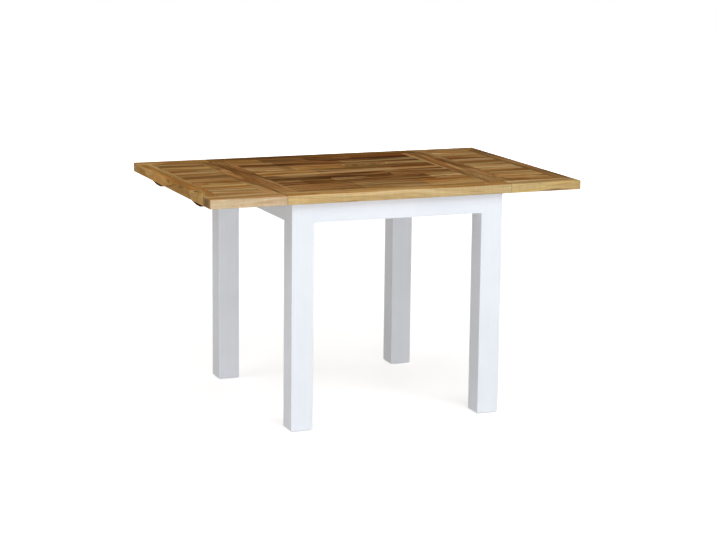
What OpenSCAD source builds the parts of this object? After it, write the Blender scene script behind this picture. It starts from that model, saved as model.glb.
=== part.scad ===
// Extending dining table: square painted legs, a board-work top, and an end leaf
// on two sliding arms at each end. Millimetres, floor at z = 0, length along X.

/* [Main top] */
// Length of the main top
main_len = 784; // [720:1:1000]
// Depth of the main top and of both leaves
top_depth = 855; // [780:1:950]
// Height of the table
table_h = 780; // [700:1:800]
// Thickness of all top boards
top_t = 30; // [26:1:36]
// Width of the front and back border boards
side_board_w = 68; // [50:1:90]
// Width of the border boards at the ends of the main top
end_board_w = 60; // [56:1:80]
// Glue line between neighbouring boards of the field
seam = 0.2; // [0.1:0.1:0.5]
// Radius of the eased edges round the outline
edge_r = 2.5; // [1:0.5:4]
// Radius of the eased edges where a leaf meets the main top
joint_r = 1; // [0.5:0.5:2]

/* [Leaves] */
// Length of a leaf
leaf_len = 257.5; // [200:0.5:300]
// Gap between a leaf at home and the main top
leaf_gap = 0.5; // [0.2:0.1:1]
// Width of a leaf's border board at its outer end
leaf_outer_w = 52; // [40:1:70]
// Width of a leaf's border board next to the main top
leaf_inner_w = 44; // [36:1:60]
// Radius of a leaf's outer corners, seen from above
corner_r = 6; // [3:0.5:12]

/* [Arms] */
// Width of an arm
arm_w = 44; // [30:1:56]
// Thickness of an arm
arm_t = 22; // [18:1:24]
// Distance of an arm's centre line from the inner faces of the legs
arm_from_legs = 113; // [108:1:200]
// Distance of an arm's outer end from the leaf's outer edge
arm_inset = 15; // [12:1:20]
// Bevel that takes off the lower edge of an arm's outer end
arm_bevel = 14; // [8:1:16]
// Length of an arm under the main top
arm_reach = 282; // [240:1:320]
// Length of the slope on an arm's inner end
arm_nose = 24; // [10:1:40]
// Height that the slope takes off an arm's inner end
arm_nose_h = 9; // [4:1:12]
// Radius of the eased long edges of an arm
arm_r = 2; // [1:0.5:3]
// Clearance on each side of an arm in its slots
arm_side_gap = 0.5; // [0.3:0.1:2]
// Clearance under an arm in its slots
arm_floor_gap = 0.3; // [0.2:0.1:1]

/* [Base] */
// Width of a square leg
leg_w = 75; // [60:1:90]
// Distance of the legs from the ends of the main top
leg_inset_x = 22; // [10:1:40]
// Distance of the legs from the front and back edges
leg_inset_y = 21; // [10:1:40]
// Radius of the eased long edges of a leg
leg_r = 2; // [1:0.5:4]
// Chamfer round the foot of a leg
foot_chamfer = 3; // [1:0.5:6]
// Height of the aprons
apron_h = 65; // [58:1:90]
// Thickness of the aprons
apron_t = 22; // [18:1:26]
// Set-back of the aprons behind the faces of the legs
apron_back = 1; // [0.5:0.5:4]
// Radius of the eased lower edges of the aprons and rails
apron_r = 1.5; // [0.5:0.5:3]
// Thickness of the cross rails
rail_t = 22; // [18:1:26]
// Height of the cross rails
rail_h = 58; // [48:1:58]
// Depth of the housings that hold the ends of the cross rails
rail_housing = 6; // [4:1:10]
// Length of an arm's inner end past its cross rail
arm_past_rail = 50; // [30:1:60]

/* [Corner blocks] */
// Thickness of a corner block
block_t = 30; // [24:1:36]
// Height of a corner block
block_h = 44; // [40:1:50]
// Gap between a corner block and the top
block_drop = 8; // [4:1:10]
// Cut-back of a leg's inner corner, the seat of the corner block
leg_flat = 17; // [14:1:20]
// Thickness of wood under the head of a block screw
block_screw_seat = 12; // [10:1:14]
// Length of a block screw under its head
block_screw_len = 26; // [24:1:28]
// Distance between the two block screws at each end of a block
block_screw_pitch = 22; // [18:1:26]

/* [Hardware] */
// Radius of a hanger bolt
bolt_r = 4; // [3:0.5:5]
// Length of a hanger bolt in the leg
bolt_in_leg = 45; // [30:1:55]
// Length of a hanger bolt past its nut
bolt_past_nut = 5; // [2:1:10]
// Clearance round a hanger bolt in the corner block
bolt_gap = 0.5; // [0.3:0.1:1]
// Radius of the washers
washer_r = 10; // [9:1:12]
// Thickness of the washers
washer_t = 1.6; // [1:0.2:2.4]
// Width of the nuts across their flats
nut_af = 13; // [13:1:17]
// Height of the nuts
nut_h = 6.5; // [5:0.5:8]
// Radius of the screw shanks
screw_r = 2; // [1.5:0.25:2.25]
// Radius of the screw heads
head_r = 4; // [3.5:0.25:4.5]
// Height of the screw heads
head_h = 2.5; // [2:0.25:3]
// Length of an arm screw
arm_screw_len = 38; // [34:1:40]
// Distance of the outermost arm screw from the arm's outer end
arm_screw_end = 27; // [24:1:32]
// Length of a bracket screw under its head
bracket_screw_len = 16; // [12:1:17]
// Leg length of the steel angle brackets
bracket_leg = 26; // [24:1:30]
// Width of the angle brackets
bracket_w = 30; // [24:1:40]
// Thickness of the angle brackets
bracket_t = 2; // [1.5:0.25:3]
// Distance of the bracket holes from the inner corner
bracket_hole = 10; // [9:0.5:11]
// Length of travel of a screw in a bracket's slot
bracket_slot = 6; // [4:1:10]
// Distance of the front and back brackets from the middle
bracket_x = 90; // [0:1:110]
// Radius of the alignment dowels
dowel_r = 5; // [4:0.5:6]
// Length of a dowel in its leaf
dowel_in = 22; // [16:1:26]
// Length of a dowel past its leaf's edge
dowel_out = 14; // [8:1:20]
// Distance of the outer dowels from the ends of the boards that they join
dowel_from_end = 60; // [30:1:120]
// Clearance round a dowel
dowel_gap = 0.08; // [0.05:0.01:0.1]
// Radius of the glides under the legs
glide_r = 13; // [10:1:18]
// Thickness of the glides
glide_t = 3; // [2:0.5:5]
// Radius of the nail of a glide
nail_r = 1.25; // [1:0.25:2]
// Length of the nail of a glide
nail_len = 16; // [10:1:25]

/* [Hidden] */
$fn = 32;
// Number of straight steps in an eased edge
ease_steps = 3;
// Clearance between a thread or nail and its hole
thread_gap = 0.05;
// Clearance round a screw shank in a bracket or block
shank_gap = 0.5;
// Extra depth of a blind hole past what it holds
hole_spare = 2;
// Length by which a cutting tool runs past a face
past = 1;

// Widths of the board rows of the main top, from the back, as parts of the field
row_parts = [80, 105, 90, 105, 95, 110, 134];
// Butt joints along each row, as shares of the field's length from its left end
row_joints = [
    [0.17, 0.42, 0.68],
    [0.20, 0.57],
    [0.24, 0.52, 0.70],
    [0.32, 0.75],
    [0.28, 0.66],
    [0.14, 0.31, 0.82],
    [0.36, 0.71]
];
// Widths of the strips of each leaf, from the back, as parts of the field
left_strip_parts = [88, 92, 95, 35, 85, 85, 102, 86, 52];
right_strip_parts = [60, 60, 80, 115, 75, 75, 90, 70, 95];

// Colours of the finished pieces
paint = "#eef0f3";
steel = "#b9bcc0";
black_plastic = "#2b2b2c";
beech = "#d9b98a";
golden = "#c08a4a";
arm_brown = "#6b4a2c";
row_colours = ["#8a5a33", "#6a4328", "#b8864b", "#bd8d50", "#6f472a", "#8b5430", "#a9783f"];

frame_top = table_h - top_t;
half_x = main_len/2;
half_y = top_depth/2;
field_x = half_x - end_board_w;
field_y = half_y - side_board_w;

leg_x1 = half_x - leg_inset_x;
leg_x0 = leg_x1 - leg_w;
leg_y1 = half_y - leg_inset_y;
leg_y0 = leg_y1 - leg_w;

apron_z = frame_top - apron_h;
side_apron_y1 = leg_y1 - apron_back;
side_apron_y0 = side_apron_y1 - apron_t;
end_apron_x1 = leg_x1 - apron_back;
end_apron_x0 = end_apron_x1 - apron_t;

leaf_x0 = half_x + leaf_gap;
leaf_x1 = leaf_x0 + leaf_len;
strip_x0 = leaf_x0 + leaf_inner_w;
strip_x1 = leaf_x1 - leaf_outer_w;

arm_tip_x = half_x - arm_reach;
arm_end_x = leaf_x1 - arm_inset;
arm_y = leg_y0 - arm_from_legs;
arm_z = frame_top - arm_t;
rail_x0 = arm_tip_x + arm_past_rail;
rail_x1 = rail_x0 + rail_t;

block_z = frame_top - block_drop - block_h;
bolt_z = block_z + block_h/2;
// Middle of the flat on a leg's inner corner
flat_x = leg_x0 + leg_flat/2;
flat_y = leg_y0 + leg_flat/2;
// Sum of x and y all over the outer and the inner face of a block
block_sum = flat_x + flat_y;
block_sum_in = block_sum - block_t*sqrt(2);
// Places of the block screws along the two aprons
block_screw_x = (block_sum + block_sum_in)/2 - side_apron_y0;
block_screw_y = (block_sum + block_sum_in)/2 - end_apron_x0;

dowel_y = field_y - dowel_from_end;
dowel_z = frame_top + top_t/2;
arm_screw_x = [arm_end_x - arm_screw_end, (strip_x0 + strip_x1)/2, (leaf_x0 + strip_x0)/2];

row_count = len(row_parts);
SIDES = ["front_left", "front_right", "back_left", "back_right"];

// Sum of the first n values of a list
function first(v, n) = n == 0 ? 0 : v[n - 1] + first(v, n - 1);

// Quarter round of radius r about a centre, from angle a
function quarter(cx, cy, r, a) = r == 0 ? [[cx, cy]] :
    [for (k = [0:ease_steps]) [cx + r*cos(a + 90*k/ease_steps), cy + r*sin(a + 90*k/ease_steps)]];

// Rectangle with eased corners: r lists upper right, upper left, lower left, lower right
function eased(x0, y0, x1, y1, r) = concat(
    quarter(x1 - r[0], y1 - r[0], r[0], 0),
    quarter(x0 + r[1], y1 - r[1], r[1], 90),
    quarter(x0 + r[2], y0 + r[2], r[2], 180),
    quarter(x1 - r[3], y0 + r[3], r[3], 270)
);

// Outline in Y and Z, drawn along X from x0 to x1
module along_x(x0, x1) {
    translate([x0, 0, 0]) rotate([90, 0, 90]) linear_extrude(x1 - x0) children();
}

// Outline in X and Z, drawn along Y from y0 to y1
module along_y(y0, y1) {
    translate([0, y1, 0]) rotate([90, 0, 0]) linear_extrude(y1 - y0) children();
}

// Plain block between two corners
module block(a, b) {
    translate(a) cube(b - a);
}

// Everything is drawn for the right end and the back, and mirrored from there
module on_side(sx, sy = 1) {
    mirror([sx < 0 ? 1 : 0, 0, 0]) mirror([0, sy < 0 ? 1 : 0, 0]) children();
}

module both_ends() {
    for (sx = [-1, 1]) on_side(sx) children();
}

module all_corners() {
    for (sx = [-1, 1], sy = [-1, 1]) on_side(sx, sy) children();
}

// Frame of a corner block: +X runs inwards along the diagonal from the leg's flat
module at_flat() {
    translate([flat_x, flat_y, bolt_z]) rotate([0, 0, 225]) children();
}

// Countersunk screw along +Z with its head flush at z = 0
module sunk_screw(length, gap = 0) {
    cylinder(h = head_h, r1 = head_r + gap, r2 = screw_r + gap);
    cylinder(h = length - head_r + gap, r = screw_r + gap);
    translate([0, 0, length - head_r + gap]) cylinder(h = head_r, r1 = screw_r + gap, r2 = 0.4);
}

// Flat-headed screw along +Z with the underside of its head at z = 0
module pan_screw(length, gap = 0) {
    translate([0, 0, -head_h]) cylinder(h = head_h/2, r1 = head_r*0.75 + gap, r2 = head_r + gap);
    translate([0, 0, -head_h/2]) cylinder(h = head_h/2, r = head_r + gap);
    cylinder(h = length - head_r + gap, r = screw_r + gap);
    translate([0, 0, length - head_r + gap]) cylinder(h = head_r, r1 = screw_r + gap, r2 = 0.4);
}

// Places of the angle brackets: +X runs inwards from the apron's face, z = 0 at the top
module at_brackets() {
    for (sy = [-1, 1], sx = [-1, 1]) translate([sx*bracket_x, sy*side_apron_y0, frame_top])
        rotate([0, 0, -90*sy]) children();
    for (sx = [-1, 1]) translate([sx*end_apron_x0, 0, frame_top])
        rotate([0, 0, sx > 0 ? 180 : 0]) children();
}

// The two screws of one bracket: into the apron, and up into the top
module bracket_screw_pair(gap = 0) {
    translate([bracket_t, 0, -bracket_hole]) rotate([0, -90, 0]) pan_screw(bracket_screw_len, gap);
    translate([bracket_hole, 0, -bracket_t]) pan_screw(bracket_screw_len, gap);
}

// Screws of one corner block, into the side apron and into the end apron
module block_screw_set(gap = 0) {
    for (s = [-1, 1]) {
        z = bolt_z + s*block_screw_pitch/2;
        translate([block_screw_x, side_apron_y0 - block_screw_seat, z])
            rotate([-90, 0, 0]) pan_screw(block_screw_len, gap);
        translate([end_apron_x0 - block_screw_seat, block_screw_y, z])
            rotate([0, 90, 0]) pan_screw(block_screw_len, gap);
    }
}

// Arm screws of one leaf
module arm_screw_set(gap = 0) {
    for (sy = [-1, 1], x = arm_screw_x) translate([x, sy*arm_y, arm_z]) sunk_screw(arm_screw_len, gap);
}

module block_screws() {
    color(steel) all_corners() block_screw_set();
}

module bracket_screws() {
    color(steel) at_brackets() bracket_screw_pair();
}

module arm_screws() {
    color(steel) arm_screw_set();
}

// Dowels of one leaf, with chamfered ends
module dowels() {
    ease = dowel_r/4;
    length = dowel_out + dowel_in;
    color(beech) for (y = [-dowel_y, 0, dowel_y]) translate([leaf_x0 - dowel_out, y, dowel_z])
        rotate([0, 90, 0]) {
            cylinder(h = ease, r1 = dowel_r - ease, r2 = dowel_r);
            translate([0, 0, ease]) cylinder(h = length - 2*ease, r = dowel_r);
            translate([0, 0, length - ease]) cylinder(h = ease, r1 = dowel_r, r2 = dowel_r - ease);
        }
}

// Round blind holes for the dowels of one leaf, through the joint between leaf and main top
module dowel_holes() {
    length = dowel_out + dowel_in + 2*hole_spare;
    for (y = [-dowel_y, 0, dowel_y]) translate([leaf_x0 - dowel_out - hole_spare, y, dowel_z])
        rotate([0, 90, 0]) cylinder(h = length, r = dowel_r + dowel_gap);
}

// Slots for the two arms, open at the top, from x0 to x1
module arm_slots(x0, x1) {
    for (sy = [-1, 1]) {
        y0 = sy*arm_y - arm_w/2 - arm_side_gap;
        y1 = sy*arm_y + arm_w/2 + arm_side_gap;
        block([x0 - past, y0, arm_z - arm_floor_gap], [x1 + past, y1, frame_top + past]);
    }
}

// Solid that bounds the main top: sharp joints at its ends, eased edges front and back
module main_slab() {
    intersection() {
        along_y(-half_y, half_y)
            polygon(eased(-half_x, frame_top, half_x, table_h, [joint_r, joint_r, joint_r, joint_r]));
        along_x(-half_x, half_x)
            polygon(eased(-half_y, frame_top, half_y, table_h, [edge_r, edge_r, edge_r, edge_r]));
        translate([0, 0, frame_top]) linear_extrude(top_t)
            polygon(eased(-half_x, -half_y, half_x, half_y, [joint_r, joint_r, joint_r, joint_r]));
    }
}

// Solid that bounds the right leaf: eased all round, with rounded outer corners
module leaf_slab() {
    intersection() {
        along_y(-half_y, half_y)
            polygon(eased(leaf_x0, frame_top, leaf_x1, table_h, [edge_r, joint_r, joint_r, edge_r]));
        along_x(leaf_x0, leaf_x1)
            polygon(eased(-half_y, frame_top, half_y, table_h, [edge_r, edge_r, edge_r, edge_r]));
        translate([0, 0, frame_top]) linear_extrude(top_t)
            polygon(eased(leaf_x0, -half_y, leaf_x1, half_y, [corner_r, joint_r, joint_r, corner_r]));
    }
}

// Leg with eased edges, a chamfered foot, a flat for the corner block and its bolt hole
module leg() {
    f = foot_chamfer;
    r = [leg_r, leg_r, leg_r, leg_r];
    color(paint) difference() {
        intersection() {
            translate([0, 0, glide_t]) linear_extrude(frame_top - glide_t)
                polygon(eased(leg_x0, leg_y0, leg_x1, leg_y1, r));
            along_y(leg_y0, leg_y1) polygon([
                [leg_x0 + f, glide_t], [leg_x1 - f, glide_t], [leg_x1, glide_t + f],
                [leg_x1, frame_top], [leg_x0, frame_top], [leg_x0, glide_t + f]
            ]);
            along_x(leg_x0, leg_x1) polygon([
                [leg_y0 + f, glide_t], [leg_y1 - f, glide_t], [leg_y1, glide_t + f],
                [leg_y1, frame_top], [leg_y0, frame_top], [leg_y0, glide_t + f]
            ]);
        }
        translate([0, 0, block_z]) linear_extrude(frame_top - block_z + past) polygon([
            [leg_x0 - past, leg_y0 - past], [leg_x0 + leg_flat + past, leg_y0 - past],
            [leg_x0 - past, leg_y0 + leg_flat + past]
        ]);
        at_flat() rotate([0, -90, 0]) translate([0, 0, -past])
            cylinder(h = bolt_in_leg + hole_spare + past, r = bolt_r + thread_gap);
        translate([(leg_x0 + leg_x1)/2, (leg_y0 + leg_y1)/2, 0])
            cylinder(h = glide_t + nail_len + hole_spare, r = nail_r + thread_gap);
    }
}

// Front or back apron, housed for both cross rails
module side_apron() {
    color(paint) difference() {
        along_x(-leg_x0, leg_x0)
            polygon(eased(side_apron_y0, apron_z, side_apron_y1, frame_top, [0, 0, apron_r, apron_r]));
        both_ends() block([rail_x0, side_apron_y0 - past, frame_top - rail_h],
            [rail_x1, side_apron_y0 + rail_housing, frame_top + past]);
        all_corners() block_screw_set(thread_gap);
        at_brackets() bracket_screw_pair(thread_gap);
    }
}

// End apron with the two slots that the arms of a leaf slide in
module end_apron() {
    color(paint) difference() {
        along_y(-leg_y0, leg_y0)
            polygon(eased(end_apron_x0, apron_z, end_apron_x1, frame_top, [0, 0, apron_r, apron_r]));
        arm_slots(end_apron_x0, end_apron_x1);
        all_corners() block_screw_set(thread_gap);
        at_brackets() bracket_screw_pair(thread_gap);
    }
}

// Cross rail with the same slots, let into both side aprons
module cross_rail() {
    y = side_apron_y0 + rail_housing;
    color(golden) difference() {
        along_y(-y, y)
            polygon(eased(rail_x0, frame_top - rail_h, rail_x1, frame_top, [0, 0, apron_r, apron_r]));
        arm_slots(rail_x0, rail_x1);
    }
}

// Diagonal block between two aprons, with seats sunk for its screws
module corner_block() {
    color(golden) difference() {
        translate([0, 0, block_z]) linear_extrude(block_h) polygon([
            [block_sum - side_apron_y0, side_apron_y0], [block_sum_in - side_apron_y0, side_apron_y0],
            [end_apron_x0, block_sum_in - end_apron_x0], [end_apron_x0, block_sum - end_apron_x0]
        ]);
        at_flat() rotate([0, 90, 0]) translate([0, 0, -past])
            cylinder(h = block_t + 2*past, r = bolt_r + bolt_gap);
        for (s = [-1, 1]) translate([0, 0, bolt_z + s*block_screw_pitch/2]) {
            translate([block_screw_x, side_apron_y0 + past, 0]) rotate([90, 0, 0])
                cylinder(h = block_t + past, r = screw_r + shank_gap);
            translate([block_screw_x, side_apron_y0 - block_screw_seat, 0]) rotate([90, 0, 0])
                cylinder(h = block_t, r = head_r + shank_gap);
            translate([end_apron_x0 + past, block_screw_y, 0]) rotate([0, -90, 0])
                cylinder(h = block_t + past, r = screw_r + shank_gap);
            translate([end_apron_x0 - block_screw_seat, block_screw_y, 0]) rotate([0, -90, 0])
                cylinder(h = block_t, r = head_r + shank_gap);
        }
    }
}

module hanger_bolt() {
    tip = bolt_r/2;
    length = bolt_in_leg + block_t + washer_t + nut_h + bolt_past_nut;
    color(steel) at_flat() translate([-bolt_in_leg, 0, 0]) rotate([0, 90, 0]) {
        cylinder(h = 2*tip, r1 = tip, r2 = bolt_r);
        translate([0, 0, 2*tip]) cylinder(h = length - 3*tip, r = bolt_r);
        translate([0, 0, length - tip]) cylinder(h = tip, r1 = bolt_r, r2 = bolt_r - tip/2);
    }
}

module hanger_washer() {
    color(steel) at_flat() translate([block_t, 0, 0]) rotate([0, 90, 0]) difference() {
        cylinder(h = washer_t, r = washer_r);
        translate([0, 0, -past]) cylinder(h = washer_t + 2*past, r = bolt_r + bolt_gap);
    }
}

module hanger_nut() {
    color(steel) at_flat() translate([block_t + washer_t, 0, 0]) rotate([0, 90, 0]) difference() {
        cylinder(h = nut_h, r = nut_af/2/cos(30), $fn = 6);
        translate([0, 0, -past]) cylinder(h = nut_h + 2*past, r = bolt_r + thread_gap);
    }
}

// Angle bracket: a round hole to the apron, a slot to the top so that the boards can move
module bracket() {
    color(steel) difference() {
        translate([0, bracket_w/2, 0]) rotate([90, 0, 0]) linear_extrude(bracket_w) polygon([
            [0, 0], [bracket_leg, 0], [bracket_leg, -bracket_t], [bracket_t, -bracket_t],
            [bracket_t, -bracket_leg], [0, -bracket_leg]
        ]);
        translate([-past, 0, -bracket_hole]) rotate([0, 90, 0])
            cylinder(h = bracket_t + 2*past, r = screw_r + shank_gap);
        translate([bracket_hole, 0, -bracket_t - past]) linear_extrude(bracket_t + 2*past) {
            square([2*(screw_r + shank_gap), bracket_slot], center = true);
            for (s = [-1, 1]) translate([0, s*bracket_slot/2]) circle(r = screw_r + shank_gap);
        }
    }
}

// Glide with a domed rim, a flat sole and the nail that holds it
module foot_glide() {
    x = (leg_x0 + leg_x1)/2;
    y = (leg_y0 + leg_y1)/2;
    rim = glide_t/3;
    color(black_plastic) translate([x, y, 0]) {
        cylinder(h = rim, r1 = glide_r - rim, r2 = glide_r);
        translate([0, 0, rim]) cylinder(h = glide_t - rim, r = glide_r);
        translate([0, 0, glide_t]) cylinder(h = nail_len - nail_r, r = nail_r);
        translate([0, 0, glide_t + nail_len - nail_r]) cylinder(h = nail_r, r1 = nail_r, r2 = 0.3);
    }
}

// Border board along the back of the main top
module top_side_board(tone) {
    color(tone) difference() {
        intersection() {
            main_slab();
            block([-half_x, field_y, frame_top], [half_x, half_y, table_h]);
        }
        at_brackets() bracket_screw_pair(thread_gap);
    }
}

// Border board across the right end of the main top, bored for the dowels
module top_end_board() {
    color(golden) difference() {
        intersection() {
            main_slab();
            block([field_x, -field_y, frame_top], [half_x, field_y, table_h]);
        }
        dowel_holes();
        at_brackets() bracket_screw_pair(thread_gap);
    }
}

// One row of butt-jointed boards in the field of the main top
module top_row(i) {
    depth = 2*field_y/first(row_parts, row_count);
    y1 = field_y - depth*first(row_parts, i);
    y0 = y1 - depth*row_parts[i];
    cuts = concat([0], row_joints[i], [1]);
    last = len(cuts) - 2;
    color(row_colours[i]) for (k = [0:last]) block(
        [-field_x + 2*field_x*cuts[k] + (k > 0 ? seam/2 : 0), y0, frame_top],
        [-field_x + 2*field_x*cuts[k + 1] - (k < last ? seam/2 : 0), y1, table_h]
    );
}

// Board of a leaf between x0 and x1 and between y0 and y1, bored for screws and dowels
module leaf_board(x0, x1, y0, y1) {
    color(golden) difference() {
        intersection() {
            leaf_slab();
            block([x0, y0, frame_top], [x1, y1, table_h]);
        }
        arm_screw_set(thread_gap);
        dowel_holes();
    }
}

// Short strips of a leaf, side by side from the back
module leaf_strips(parts) {
    depth = 2*field_y/first(parts, len(parts));
    last = len(parts) - 1;
    color(golden) difference() {
        for (i = [0:last]) block(
            [strip_x0, field_y - depth*first(parts, i + 1) + (i < last ? seam/2 : 0), frame_top],
            [strip_x1, field_y - depth*first(parts, i) - (i > 0 ? seam/2 : 0), table_h]
        );
        arm_screw_set(thread_gap);
    }
}

// Arm under a leaf, with a sloped nose that finds the slots and a bevelled outer end
module arm() {
    color(arm_brown) difference() {
        intersection() {
            along_y(arm_y - arm_w/2, arm_y + arm_w/2) polygon([
                [arm_tip_x, frame_top], [arm_tip_x, arm_z + arm_nose_h], [arm_tip_x + arm_nose, arm_z],
                [arm_end_x - arm_bevel, arm_z], [arm_end_x, arm_z + arm_bevel], [arm_end_x, frame_top]
            ]);
            along_x(arm_tip_x, arm_end_x) polygon(
                eased(arm_y - arm_w/2, arm_z, arm_y + arm_w/2, frame_top, [0, 0, arm_r, arm_r]));
        }
        arm_screw_set(thread_gap);
        for (x = arm_screw_x) translate([x, arm_y, arm_z - past])
            cylinder(h = past, r = head_r + thread_gap);
    }
}

on_side(-1, -1) leg();  // leg_front_left
on_side(1, -1) leg();  // leg_front_right
on_side(-1, 1) leg();  // leg_back_left
on_side(1, 1) leg();  // leg_back_right
on_side(1, -1) side_apron();  // apron_front
on_side(1, 1) side_apron();  // apron_back
on_side(-1) end_apron();  // apron_left
on_side(1) end_apron();  // apron_right
on_side(-1) cross_rail();  // cross_rail_left
on_side(1) cross_rail();  // cross_rail_right
on_side(-1, -1) corner_block();  // corner_block_front_left
on_side(1, -1) corner_block();  // corner_block_front_right
on_side(-1, 1) corner_block();  // corner_block_back_left
on_side(1, 1) corner_block();  // corner_block_back_right
all_corners() hanger_bolt();  // hanger_bolts
all_corners() hanger_washer();  // hanger_washers
all_corners() hanger_nut();  // hanger_nuts
block_screws();
at_brackets() bracket();  // top_brackets
bracket_screws();
all_corners() foot_glide();  // foot_glides
on_side(1, -1) top_side_board(golden);  // top_front_board
top_side_board(arm_brown);  // top_back_board
on_side(-1) top_end_board();  // top_left_end_board
on_side(1) top_end_board();  // top_right_end_board
for (i = [0:row_count - 1])
    top_row(i);
for (s = [-1, 1]) {
    leaf = s < 0 ? "leaf_left_" : "leaf_right_";
    on_side(s) leaf_board(strip_x1, leaf_x1, -field_y, field_y);
    on_side(s) leaf_board(leaf_x0, strip_x0, -field_y, field_y);
    on_side(s) leaf_board(leaf_x0, leaf_x1, -half_y, -field_y);
    on_side(s) leaf_board(leaf_x0, leaf_x1, field_y, half_y);
    on_side(s) leaf_strips(s < 0 ? left_strip_parts : right_strip_parts);
    on_side(s, -1) arm();
    on_side(s) arm();
    on_side(s) arm_screws();
    on_side(s) dowels();
}
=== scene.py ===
import functools
import math
import random

import bmesh
import bpy
from mathutils import Matrix, Vector


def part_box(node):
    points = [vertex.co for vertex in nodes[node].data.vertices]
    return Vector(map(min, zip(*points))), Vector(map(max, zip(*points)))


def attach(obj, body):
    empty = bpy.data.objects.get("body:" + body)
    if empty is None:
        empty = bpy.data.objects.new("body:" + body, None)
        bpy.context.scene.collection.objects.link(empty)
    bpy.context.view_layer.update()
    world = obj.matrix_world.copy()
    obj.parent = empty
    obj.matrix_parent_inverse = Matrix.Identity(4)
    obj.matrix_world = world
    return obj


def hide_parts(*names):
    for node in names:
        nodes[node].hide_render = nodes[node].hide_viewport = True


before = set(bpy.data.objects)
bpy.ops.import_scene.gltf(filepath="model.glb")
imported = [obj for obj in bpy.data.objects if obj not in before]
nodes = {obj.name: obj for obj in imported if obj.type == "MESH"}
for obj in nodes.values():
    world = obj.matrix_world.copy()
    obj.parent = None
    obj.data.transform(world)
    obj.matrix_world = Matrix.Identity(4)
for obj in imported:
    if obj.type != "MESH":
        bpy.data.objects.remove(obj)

scene = bpy.context.scene
scene.view_settings.view_transform = "Standard"
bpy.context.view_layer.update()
print("frame loaded")

mm = 0.001

# Camera: a normal-to-long lens at standing height, in front of the left leaf
cameraSettings = {
    "place": (-2.6046, -6.4213, 1.8095),  # metres
    "turn": 22.26,       # degrees to the right of straight ahead
    "tilt": 11.20,       # degrees downwards
    "roll": 0.63,
    "lens": 103.28,      # mm
    "sensor": 36,        # mm wide
}


def makeCamera():
    s = cameraSettings
    lens = bpy.data.cameras.new("camera")
    lens.sensor_fit = "HORIZONTAL"
    lens.sensor_width = s["sensor"]
    lens.lens = s["lens"]
    camera = bpy.data.objects.new("camera", lens)
    scene.collection.objects.link(camera)
    turn = Matrix.Rotation(-math.radians(s["turn"]), 4, "Z")
    tilt = Matrix.Rotation(math.radians(90 - s["tilt"]), 4, "X")
    roll = Matrix.Rotation(math.radians(s["roll"]), 4, "Z")
    camera.matrix_world = Matrix.Translation(s["place"]) @ turn @ tilt @ roll
    scene.camera = camera


# sRGB hex to the linear colour that sockets take
def linear(hexColour):
    channels = [int(hexColour[i:i + 2], 16) / 255 for i in (1, 3, 5)]
    return [c / 12.92 if c <= 0.04045 else ((c + 0.055) / 1.055) ** 2.4 for c in channels] + [1.0]


# Adds a node to a tree; links gives each socket a plain value, an output,
# or a node whose first output is meant
def addNode(tree, kind, links=None, **settings):
    node = tree.nodes.new("ShaderNode" + kind)
    for key, value in settings.items():
        setattr(node, key, value)
    for key, value in (links or {}).items():
        source = value.outputs[0] if isinstance(value, bpy.types.Node) else value
        if isinstance(source, bpy.types.NodeSocket):
            tree.links.new(source, node.inputs[key])
        else:
            node.inputs[key].default_value = source
    return node


# An empty material, and what adds nodes to it
def newMaterial(name):
    material = bpy.data.materials.new(name)
    material.use_nodes = True
    material.node_tree.nodes.clear()
    return material, functools.partial(addNode, material.node_tree)


makeCamera()
print("camera placed")

# Soft studio light: lamps high in front, low and far off at the front left, above, at the left,
# and a weak one behind, kept out of gloss because it would veil the top with glare
lampSettings = {
    "high": {"place": (0.6, -3.6, 4.2), "size": 3.0, "watts": 116, "tint": "#f2f8ff", "inGloss": True},
    "low": {"place": (-3.35, -9.9, 1.2), "size": 3.0, "watts": 432, "tint": "#f2f8ff", "inGloss": True},
    "above": {"place": (0.4, 0.6, 4.2), "size": 3.6, "watts": 28, "tint": "#ffffff", "inGloss": True},
    "left": {"place": (-3.4, -0.4, 3.8), "size": 2.6, "watts": 33.5, "tint": "#f8fbff", "inGloss": True},
    "behind": {"place": (3.2, 6.4, 1.2), "size": 2.4, "watts": 70, "tint": "#f8fbff", "inGloss": False},
}
lampAim = Vector((0, 0, 0.5))

surroundingsSettings = {
    "strength": 0.22,
    "tint": "#fff6ea",
}

floorSettings = {
    "colour": "#f2f2f2",
    "half": 12.0,
    "lift": 0.6,           # added for the camera only, so that the floor reads as white paper
    "liftFar": 1.0,        # the same where the lamps no longer reach
    "reach": (2.5, 6.0),
    "fibre": 2.5 * mm,
    "bump": 0.05,
    "relief": 1 * mm,
}


def makeLights():
    for name, s in lampSettings.items():
        lamp = bpy.data.lights.new(name + "Lamp", "AREA")
        lamp.shape = "SQUARE"
        lamp.size = s["size"]
        lamp.energy = s["watts"]
        lamp.color = linear(s["tint"])[:3]
        place = Vector(s["place"])
        turned = (lampAim - place).to_track_quat("-Z", "Y").to_matrix().to_4x4()
        holder = bpy.data.objects.new(name + "Lamp", lamp)
        holder.matrix_world = Matrix.Translation(place) @ turned
        holder.visible_glossy = s["inGloss"]
        scene.collection.objects.link(holder)


# 1 for a ray that comes from the camera, a gloss or a clear material, and 0 for a diffuse bounce
def seenDirectly(add):
    path = add("LightPath")
    sharp = add("Math", {0: path.outputs["Is Glossy Ray"], 1: path.outputs["Is Transmission Ray"]},
                operation="MAXIMUM")
    return add("Math", {0: path.outputs["Is Camera Ray"], 1: sharp}, operation="MAXIMUM")


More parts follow.
